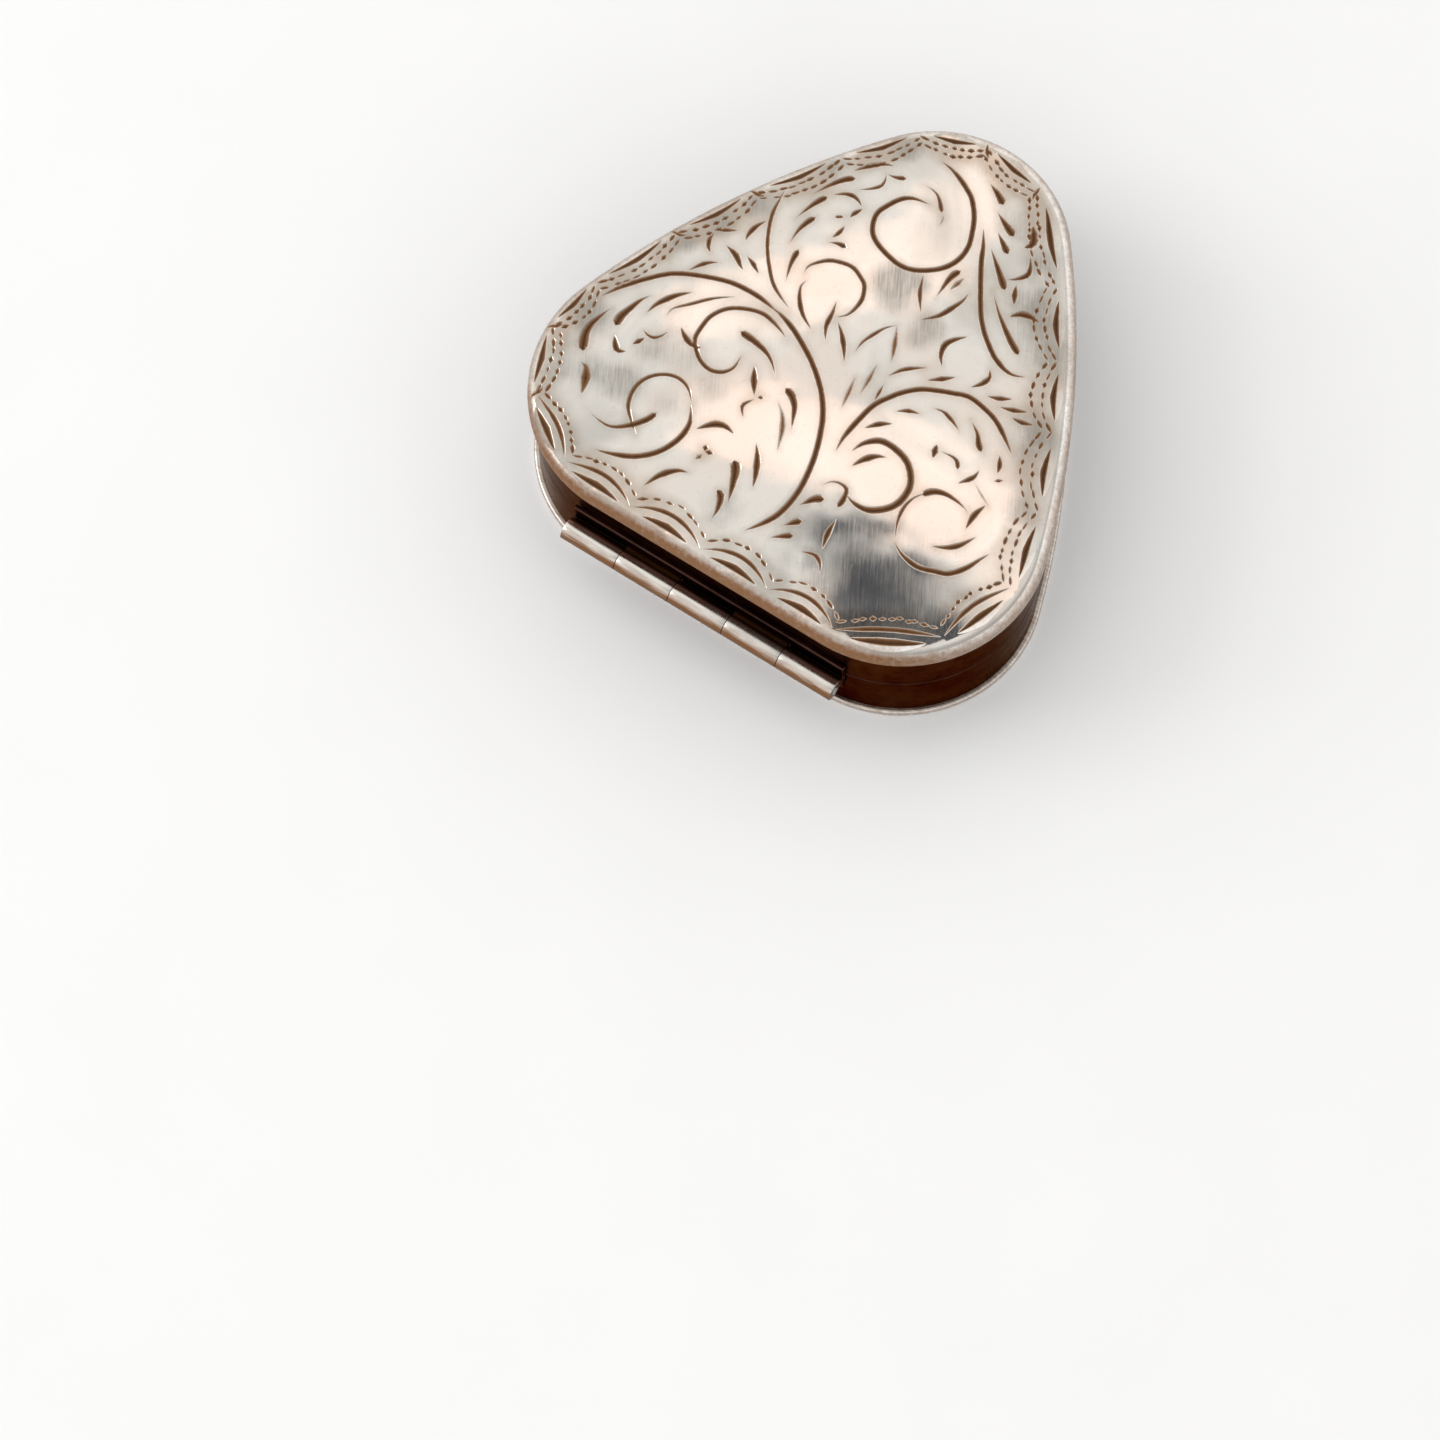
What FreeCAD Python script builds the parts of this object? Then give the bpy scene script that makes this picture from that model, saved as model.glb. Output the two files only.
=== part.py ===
import FreeCAD, Part
import math
import os

# Silver pill box with a rounded-triangle plan, a hinged engraved lid and a flat flanged base.
# Every length is in millimetres and every angle in degrees unless a name says otherwise.
# +Z is up and +Y points from the hinge to the rounded tip. Z = 0 is the underside of the base
# plate, and X = Y = 0 is the middle of the overall footprint, with the hinge barrel counted in.

Vec = FreeCAD.Vector
UP = Vec(0, 0, 1)

# Plan outline of the lid, the largest outline of the box
WIDTH = 38.0              # along the straight hinge side
DEPTH = 37.4              # from the hinge side to the tip
BACK_CORNER_R = 9.9       # the two corners beside the hinge
TIP_CORNER_R = 9.2        # the corner opposite the hinge
SIDE_R = 67.0             # the two slanted sides bulge outward on this radius

# Heights above the base underside
BASE_PLATE_T = 0.6        # flat plate that closes the bottom and stands proud as a flange
SEAM_Z = 4.9              # parting line between lid and base, also the height of the hinge axis
RIM_Z = 9.0               # lower edge of the lid plate's turned-down rim
RIM_H = 1.2               # height of the turned-down rim
DOME_H = 0.8              # rise of the lid's crown above the shoulder

# Crown of the lid: it falls away from its centre evenly, to nothing at the outline
CENTRE_SHARE = 0.42       # place of the crown's centre, as a share of the depth from the back
CROWN_MEAN_R = 17.5       # close to the centre the contours are circles, scaled from this one
CROWN_GRID = 2.0          # spacing of the points that the crown's surface passes through

# Sheet thicknesses
LID_SHEET = 0.45
BASE_WALL_T = 0.55
LID_WALL_T = 0.47
BEZEL_T = 0.4

# Clearances and small radii
SOLDER_ROOM = 0.1         # the lid wall stops this far below the lid sheet
SEAM_GAP = 0.1            # between the lid wall and the base wall at the parting line
FLANGE_INSET = 0.1        # the base flange stops this far inside the lid outline
FLANGE_EDGE_R = 0.22      # rounding of the flange's edge, above and below
SHOULDER_R = 0.75         # rounding where the lid's top turns down into the rim
RIM_EDGE_R = 0.12         # rounding of the rim's lower edge
BEZEL_RISE = 1.4          # the bezel stands this far above the parting line, inside the lid
BEZEL_BELOW = 2.0         # and runs this far below it, against the base wall
BEZEL_LEAD = 0.12         # bevel that leads the lid onto the bezel

# Hinge: knuckles on a pin, carried just outside the straight wall
KNUCKLE_R = 0.8
PIN_R = 0.35
PIN_PLAY = 0.03           # radial running clearance in the lid's knuckles
KNUCKLES = 5              # odd ones belong to the base, even ones to the lid
BARREL_LENGTH = 21.6
KNUCKLE_GAP = 0.05        # between neighbouring knuckles
PIN_PROUD = 0.12          # the pin's ends show this far beyond the barrel
WEB_H = 0.4               # height of the web that joins each knuckle to its strip
LEAF_T = 0.32             # strips that carry the knuckles on the walls
LEAF_H = 1.5
LEAF_EDGE_R = 0.12

# Levels and insets that follow from the sizes above
HALF_FLAT = WIDTH / 2 - BACK_CORNER_R
RIM_TOP = RIM_Z + RIM_H
WALL_INSET = LID_SHEET
WALL_TOP = RIM_TOP - LID_SHEET - SOLDER_ROOM
BEZEL_INSET = WALL_INSET + BASE_WALL_T
AXIS_OUT = KNUCKLE_R      # the barrel just touches the plane of the lid's back edge
BACK_Y = -(DEPTH - AXIS_OUT - KNUCKLE_R) / 2
AXIS_Y = BACK_Y - AXIS_OUT
LEAF_Y = BACK_Y + WALL_INSET - LEAF_T
CROWN_CENTRE = Vec(0, BACK_Y + CENTRE_SHARE * DEPTH, 0)


def arc(centre, radius, start, end, z):
    """Arc edge at height z, counter-clockwise between two angles in radians."""
    circle = Part.Circle(Vec(centre.x, centre.y, z), UP, radius)
    return Part.ArcOfCircle(circle, start, end).toShape()


def bulge_centre(back, tip):
    """Centre of the large arc that wraps the right back corner circle and the tip circle."""
    span = tip.sub(back)
    reach_back = SIDE_R - BACK_CORNER_R
    reach_tip = SIDE_R - TIP_CORNER_R
    along = (reach_back ** 2 - reach_tip ** 2 + span.Length ** 2) / (2 * span.Length)
    across = math.sqrt(reach_back ** 2 - along ** 2)
    unit = Vec(span).normalize()
    inward = Vec(-unit.y, unit.x, 0)
    return back + unit * along + inward * across


def outline(z, inset=0.0):
    """Closed rounded-triangle wire at height z, set in from the lid outline."""
    right = Vec(HALF_FLAT, BACK_Y + BACK_CORNER_R, 0)
    left = Vec(-HALF_FLAT, BACK_Y + BACK_CORNER_R, 0)
    tip = Vec(0, BACK_Y + DEPTH - TIP_CORNER_R, 0)
    bulge_right = bulge_centre(right, tip)
    bulge_left = Vec(-bulge_right.x, bulge_right.y, 0)
    leave_back = math.atan2(right.y - bulge_right.y, right.x - bulge_right.x)
    meet_tip = math.atan2(tip.y - bulge_right.y, tip.x - bulge_right.x)
    back_r = BACK_CORNER_R - inset
    tip_r = TIP_CORNER_R - inset
    side_r = SIDE_R - inset
    edges = [
        Part.makeLine(Vec(-HALF_FLAT, BACK_Y + inset, z), Vec(HALF_FLAT, BACK_Y + inset, z)),
        arc(right, back_r, -math.pi / 2, leave_back, z),
        arc(bulge_right, side_r, leave_back, meet_tip, z),
        arc(tip, tip_r, meet_tip, math.pi - meet_tip, z),
        arc(bulge_left, side_r, math.pi - meet_tip, math.pi - leave_back, z),
        arc(left, back_r, math.pi - leave_back, 3 * math.pi / 2, z),
    ]
    return Part.Wire(edges)


def slab(inset, low, high):
    """Solid prism on the inset outline between two heights."""
    return Part.Face(outline(low, inset)).extrude(Vec(0, 0, high - low))


def band(inset, thickness, low, high):
    """Upright wall that follows the outline."""
    return slab(inset, low, high).cut(slab(inset + thickness, low, high))


def edges_near(shape, z, slack=1e-4):
    """Edges of the shape that lie wholly at height z, give or take the slack."""
    return [e for e in shape.Edges if abs(e.BoundBox.ZMin - z) < slack and abs(e.BoundBox.ZMax - z) < slack]


def crown_rise(x, y, rim):
    """Rise of the lid's crown at a point: full at its centre and nil at the outline."""
    offset = Vec(x, y, 0).sub(CROWN_CENTRE)
    if offset.Length < CROWN_GRID / 100:
        return DOME_H
    far = CROWN_CENTRE + Vec(offset).normalize() * (WIDTH + DEPTH)
    crossing = Part.makeLine(CROWN_CENTRE, far).distToShape(rim)[1][0][0]
    edge = crossing.sub(CROWN_CENTRE).Length
    share = min(offset.Length / edge, 1.0)
    limit = CROWN_MEAN_R + (edge - CROWN_MEAN_R) * share ** 2
    return DOME_H * (1 - (offset.Length / limit) ** 2)


def crown_sheet():
    """Smooth surface over the whole plan, Z = 0 where it crosses the lid outline."""
    rim = outline(0)
    steps = range(-round(WIDTH / CROWN_GRID / 2) - 1, round(WIDTH / CROWN_GRID / 2) + 2)
    rows = []
    for i in steps:
        x = i * CROWN_GRID
        rows.append([Vec(x, j * CROWN_GRID, crown_rise(x, j * CROWN_GRID, rim)) for j in steps])
    surface = Part.BSplineSurface()
    surface.interpolate(rows)
    return surface.toShape()


def lid_plate():
    """Pressed lid sheet: a low crown whose edge turns down into a short rounded rim."""
    below_crown = crown_sheet().extrude(Vec(0, 0, -3 * RIM_H))
    below_crown.translate(Vec(0, 0, RIM_TOP))
    outer = slab(0, RIM_Z, RIM_TOP + 2 * DOME_H).common(below_crown)
    outer = outer.makeFillet(SHOULDER_R, edges_near(outer, RIM_TOP, DOME_H / 4))
    outer = outer.makeFillet(RIM_EDGE_R, edges_near(outer, RIM_Z))
    below_crown.translate(Vec(0, 0, -LID_SHEET))
    inner = slab(LID_SHEET, RIM_Z - RIM_H, RIM_TOP + DOME_H).common(below_crown)
    return outer.cut(inner)


def base_plate():
    """Flat bottom plate with a rounded edge that shows as a flange round the wall."""
    plate = slab(FLANGE_INSET, 0, BASE_PLATE_T)
    return plate.makeFillet(FLANGE_EDGE_R, edges_near(plate, 0) + edges_near(plate, BASE_PLATE_T))


def bezel():
    """Upright strip inside the base wall that the lid closes over, bevelled along its top."""
    top = SEAM_Z + BEZEL_RISE
    strip = band(BEZEL_INSET, BEZEL_T, SEAM_Z - BEZEL_BELOW, top)
    return strip.makeChamfer(BEZEL_LEAD, edges_near(strip, top))


def hinge_leaf(low):
    """Flat strip against the straight wall, as long as the hinge barrel."""
    strip = Part.makeBox(BARREL_LENGTH, LEAF_T, LEAF_H, Vec(-BARREL_LENGTH / 2, LEAF_Y, low))
    outer_edges = [e for e in strip.Edges if e.BoundBox.YMax < LEAF_Y + LEAF_T / 2]
    return strip.makeFillet(LEAF_EDGE_R, outer_edges)


def knuckle(index, bore_r, web_low, web_high):
    """Tube on the hinge axis with a short web that joins it to its leaf."""
    length = (BARREL_LENGTH - (KNUCKLES - 1) * KNUCKLE_GAP) / KNUCKLES
    start = -BARREL_LENGTH / 2 + index * (length + KNUCKLE_GAP)
    foot = Vec(start, AXIS_Y, SEAM_Z)
    along = Vec(1, 0, 0)
    tube = Part.makeCylinder(KNUCKLE_R, length, foot, along)
    web = Part.makeBox(length, LEAF_Y - AXIS_Y, web_high - web_low, Vec(start, AXIS_Y, web_low))
    bore = Part.makeCylinder(bore_r, length, foot, along)
    return tube.fuse(web).removeSplitter().cut(bore)


base_top = SEAM_Z - SEAM_GAP / 2
lid_bottom = SEAM_Z + SEAM_GAP / 2

nodes = {
    "lid_plate": lid_plate(),
    "lid_wall": band(WALL_INSET, LID_WALL_T, lid_bottom, WALL_TOP),
    "lid_leaf": hinge_leaf(lid_bottom),
    "base_plate": base_plate(),
    "base_wall": band(WALL_INSET, BASE_WALL_T, BASE_PLATE_T, base_top),
    "base_bezel": bezel(),
    "base_leaf": hinge_leaf(base_top - LEAF_H),
    "hinge_pin": Part.makeCylinder(
        PIN_R,
        BARREL_LENGTH + 2 * PIN_PROUD,
        Vec(-BARREL_LENGTH / 2 - PIN_PROUD, AXIS_Y, SEAM_Z),
        Vec(1, 0, 0),
    ),
}

for index in range(KNUCKLES):
    if index % 2 == 0:
        name = "base_knuckle_" + str(index // 2 + 1)
        nodes[name] = knuckle(index, PIN_R, base_top - WEB_H, base_top)
    else:
        name = "lid_knuckle_" + str(index // 2 + 1)
        nodes[name] = knuckle(index, PIN_R + PIN_PLAY, lid_bottom, lid_bottom + WEB_H)

for name, shape in nodes.items():
    shape.exportStep("parts/" + name + ".step")
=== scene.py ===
import math
import random

import bpy
import numpy as np
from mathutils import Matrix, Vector
from mathutils.geometry import delaunay_2d_cdt


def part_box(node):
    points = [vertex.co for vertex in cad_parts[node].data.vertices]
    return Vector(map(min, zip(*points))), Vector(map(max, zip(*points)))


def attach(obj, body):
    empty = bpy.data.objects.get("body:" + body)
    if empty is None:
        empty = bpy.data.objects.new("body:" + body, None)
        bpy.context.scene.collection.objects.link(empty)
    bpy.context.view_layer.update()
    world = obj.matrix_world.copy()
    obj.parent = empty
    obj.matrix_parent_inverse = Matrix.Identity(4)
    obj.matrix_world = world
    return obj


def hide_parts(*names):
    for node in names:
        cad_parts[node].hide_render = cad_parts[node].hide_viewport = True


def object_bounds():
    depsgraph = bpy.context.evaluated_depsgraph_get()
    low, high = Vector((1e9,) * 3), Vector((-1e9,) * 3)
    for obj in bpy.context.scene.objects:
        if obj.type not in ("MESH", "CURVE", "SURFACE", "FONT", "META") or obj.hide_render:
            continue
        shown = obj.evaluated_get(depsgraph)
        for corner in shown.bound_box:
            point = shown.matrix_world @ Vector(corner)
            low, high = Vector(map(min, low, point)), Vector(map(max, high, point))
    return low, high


# A silver pill box with a hand-engraved lid. The drawing of the lid and every section is in
# millimetres in the CAD's frame, and MM turns it into the scene's metres.

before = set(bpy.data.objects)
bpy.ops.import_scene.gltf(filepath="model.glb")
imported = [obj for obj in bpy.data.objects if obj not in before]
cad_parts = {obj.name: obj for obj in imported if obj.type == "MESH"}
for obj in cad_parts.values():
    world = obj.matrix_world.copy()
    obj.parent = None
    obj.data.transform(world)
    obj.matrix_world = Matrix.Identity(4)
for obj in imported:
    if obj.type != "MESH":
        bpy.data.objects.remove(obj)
CAD_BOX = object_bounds()
MM = 0.001


def box_mm(node):
    """Lowest and highest corner of a CAD node, in millimetres."""
    low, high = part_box(node)
    return low / MM, high / MM


LID_LOW, LID_HIGH = box_mm("lid_plate")
PIN_LOW, PIN_HIGH = box_mm("hinge_pin")
WALL_GAP_LOW = box_mm("base_wall")[1].z  # the walls meet here, with a small gap
WALL_GAP_HIGH = box_mm("lid_wall")[0].z

# Plan outline: three corner arcs, a straight hinge side and two slanted sides that bulge
BACK_CORNER_R = 9.9
TIP_CORNER_R = 9.2
SIDE_R = 67.0
WIDTH = LID_HIGH.x - LID_LOW.x
DEPTH = LID_HIGH.y - LID_LOW.y
BACK_Y = LID_LOW.y
HALF_FLAT = WIDTH / 2 - BACK_CORNER_R
OUTLINE_STEPS = 480
FINE_STEPS = 900  # on each run of the outline, before it is divided evenly
ROUND_STEPS = 5  # points on a quarter round

# Lid section
SHEET_T = 0.45
RIM_Z = LID_LOW.z
DOME_H = 0.8
RIM_TOP = LID_HIGH.z - DOME_H
SHOULDER_R = 0.75
RIM_EDGE_R = 0.12
RIM_SHADE = 0.2  # painted brown shade on the turned-down edge
HINGE_SIDE_SHADE = 0.17  # and how much more there is beside the hinge
HINGE_SIDE_REACH = 6.0  # measured forward from the hinge side
SHADE_RUN = 1.25  # it is at full strength before the shoulder ends
# Painted grey shade on the shoulder and the rim
RIM_GREY_SHADE = 0.5
CENTRE_SHARE = 0.42  # the crown's centre, as a share of the depth from the back
CROWN_CENTRE = np.array([0.0, BACK_Y + CENTRE_SHARE * DEPTH])
CROWN_MEAN_R = 17.5
SHOULDER_CUT = math.radians(48)  # the engraved sheet is drawn in plan up to this turn
SHOULDER_STEP = math.radians(9)
FILL_PITCH = 0.34  # spacing of the plain vertices between the cuts
UNDERSIDE_PITCH = 1.1
LIP_ANGLE = 11  # a cut's lips are crisp where its sides are steeper than this
LIP_ROOM = 0.1  # no plain vertex stands closer to a cut's lip than this
LIP_SEARCH = 1.0  # how far round a cut its lip is looked for
SAME_POINT = 1e-4  # vertices closer than this become one

# Walls and base
LID_WALL_T = 0.47
BASE_WALL_T = 0.55
BEZEL_T = 0.4
BEZEL_LEAD = 0.12  # bevel that leads the lid onto the bezel
EDGE_BREAK = 0.03  # small bevel along every other sheet edge
FLANGE_EDGE_R = 0.22
FLANGE_BROWN = 0.2  # brown tint on the base plate's edge

# Hinge
AXIS = Vector((0, PIN_LOW.y + PIN_HIGH.y, PIN_LOW.z + PIN_HIGH.z)) / 2
PIN_R = (PIN_HIGH.z - PIN_LOW.z) / 2
PIN_DOME = 0.11
PIN_TURNS = 32
KNUCKLE_TURNS = 72
BORE_PLAY = {"base": 0.0, "lid": 0.03}
KNUCKLE_PARTS = 6
KNUCKLE_BREAK = 0.012
BREAK_MIDDLE = 0.3  # place of the middle point of that edge
WEB_H = 0.4
LEAF_PARTS = 12
LEAF_EDGE_R = 0.12
BORE_OXIDE = 0.8
WALL_SIDE_SHADE = (-0.5, 1.6)  # painted shade at the barrel's top, and how fast it grows towards the wall
BARREL_LOW_REFLECTION = 0.46  # painted brown reflection along the barrel's lower outside
BARREL_REFLECTION_TURN = math.radians(190)

# Kinds of cut: how the width grows and fades between the ends
EVEN = "fades at both ends"
HEAD = "broad at its start, with a long tail"
TAIL = "a long lead, broad at its end"
SOFT = "shallow, fades at both ends"
CUT_SPREAD = 1.65  # the lips open this much wider than the blackened part
CUT_STEP = 0.26
CUT_ENDS = (0.07, 0.18)  # extra stations near both ends, so that they round off
CURVE_STEPS = 10  # pieces of a curve between two points of the drawing
FADE_MM = 2.0
FADE_POWER = 0.6
BLUNT_MM = 0.3
LONG_FADE = 0.8  # share of the length that a one-sided cut takes to fade
LONG_FADE_POWER = 0.8
DEPTH_PER_WIDTH = 0.2
SOFT_SHARE = 0.55
FULL_OXIDE_DEPTH = 0.09  # a cut as deep as this is fully blackened
CROWD_REACH = 0.45  # tarnish gathers this far round the cuts
CROWD_SHARE = 0.45  # and each cut adds this much of what is still clean

# Sections across a cut, from its right lip to its left lip: place, share of depth, share of oxide
PLAIN_SECTION = ((-1, 0, 0), (0, 1, 1), (1, 0, 0))
# In a bright-cut wedge the dark along its deepest line is oxide, while its steep facet is painted dark as
# shade and its long facet stays bright
BRIGHT_CUT_SHADED_SECTION = ((-1, 0, 0), (-0.1, 0.8, 0.05), (0.3, 1, 1), (0.65, 0.6, 0.8), (1, 0, 0.1))


# --- Plan outline ---

def bulge_centre(back, tip):
    """Centre of the large arc that wraps the right back corner circle and the tip circle."""
    span = tip - back
    reach_back = SIDE_R - BACK_CORNER_R
    reach_tip = SIDE_R - TIP_CORNER_R
    length = np.hypot(*span)
    along = (reach_back ** 2 - reach_tip ** 2 + length ** 2) / (2 * length)
    across = math.sqrt(reach_back ** 2 - along ** 2)
    unit = span / length
    return back + unit * along + np.array([-unit[1], unit[0]]) * across


def arc_points(centre, radius, start, end):
    """Points and outward normals along an arc, without its last point."""
    turn = np.linspace(start, end, FINE_STEPS, endpoint=False)
    normal = np.stack([np.cos(turn), np.sin(turn)], 1)
    return centre + radius * normal, normal


def trace_outline():
    """Evenly spaced points of the closed outline with their outward normals, and its length."""
    right = np.array([HALF_FLAT, BACK_Y + BACK_CORNER_R])
    tip = np.array([0.0, BACK_Y + DEPTH - TIP_CORNER_R])
    bulge = bulge_centre(right, tip)
    leave = math.atan2(right[1] - bulge[1], right[0] - bulge[0])
    meet = math.atan2(tip[1] - bulge[1], tip[0] - bulge[0])
    mirror = np.array([-1.0, 1.0])
    flat_x = np.linspace(-HALF_FLAT, HALF_FLAT, FINE_STEPS, endpoint=False)
    flat = np.stack([flat_x, np.full(FINE_STEPS, BACK_Y)], 1)
    runs = [
        (flat, np.tile([0.0, -1.0], (FINE_STEPS, 1))),
        arc_points(right, BACK_CORNER_R, -math.pi / 2, leave),
        arc_points(bulge, SIDE_R, leave, meet),
        arc_points(tip, TIP_CORNER_R, meet, math.pi - meet),
        arc_points(bulge * mirror, SIDE_R, math.pi - meet, math.pi - leave),
        arc_points(right * mirror, BACK_CORNER_R, math.pi - leave, 1.5 * math.pi),
    ]
    traced = np.concatenate([np.column_stack(run) for run in runs])
    traced = np.concatenate([traced, traced[:1]])
    steps = np.hypot(*np.diff(traced[:, :2], axis=0).T)
    reached = np.concatenate([[0], np.cumsum(steps)])
    even = np.arange(OUTLINE_STEPS) * reached[-1] / OUTLINE_STEPS
    place, normal = np.split(np.stack([np.interp(even, reached, column) for column in traced.T], 1), 2, 1)
    return place, normal / np.hypot(*normal.T)[:, None], reached[-1]


OUTLINE, OUTWARD, PERIMETER = trace_outline()


def ring(inset):
    """The outline set in by a distance."""
    return OUTLINE - inset * OUTWARD


def border_point(along, inset):
    """A point given by its distance along the outline and its inset from it."""
    place = (along / PERIMETER * OUTLINE_STEPS) % OUTLINE_STEPS
    first = int(place)
    share = place - first
    second = (first + 1) % OUTLINE_STEPS
    point = OUTLINE[first] * (1 - share) + OUTLINE[second] * share
    normal = OUTWARD[first] * (1 - share) + OUTWARD[second] * share
    return point - inset * normal / np.hypot(*normal)


def inset_of(points):
    """Distance of each point inside the outline."""
    found = np.empty(len(points))
    chunk = 4000
    for start in range(0, len(points), chunk):
        part = points[start:start + chunk]
        gap = OUTLINE[None] - part[:, None]
        nearest = np.argmin((gap ** 2).sum(2), 1)
        found[start:start + chunk] = (gap[np.arange(len(part)), nearest] * OUTWARD[nearest]).sum(1)
    return found


def crown_rise(points):
    """Rise of the lid's crown: full at its centre and nil at the outline."""
    ray = OUTLINE - CROWN_CENTRE
    turn = np.arctan2(ray[:, 1], ray[:, 0])
    order = np.argsort(turn)
    offset = points - CROWN_CENTRE
    length = np.hypot(*offset.T)
    edge = np.interp(
        np.arctan2(offset[:, 1], offset[:, 0]),
        turn[order],
        np.hypot(*ray.T)[order],
        period=2 * math.pi,
    )
    share = np.minimum(length / edge, 1)
    limit = CROWN_MEAN_R + (edge - CROWN_MEAN_R) * share ** 2
    return DOME_H * (1 - (length / limit) ** 2)


def lid_height(points):
    """Height of the plain lid: crown and rounded shoulder."""
    short = np.clip(SHOULDER_R - inset_of(points), 0, SHOULDER_R)
    drop = SHOULDER_R - np.sqrt(SHOULDER_R ** 2 - short ** 2)
    return RIM_TOP + crown_rise(points) - drop


def edge_shade(points, inset):
    """Painted brown shade on the shoulder and the rim, stronger as they turn down and near the hinge side.
    """
    turned = np.clip(SHADE_RUN * (1 - inset / SHOULDER_R), 0, 1)
    near_hinge = np.clip(1 - (points[:, 1] - BACK_Y) / HINGE_SIDE_REACH, 0, 1)
    return turned * (RIM_SHADE + HINGE_SIDE_SHADE * near_hinge)


# --- Drawing of the engraving ---
# Each cut is its full width, its kind unless it is EVEN, and then X and Y of every point that the
# graver passes through. The foliage is free-hand scrollwork, so its points are listed one by one.

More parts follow.
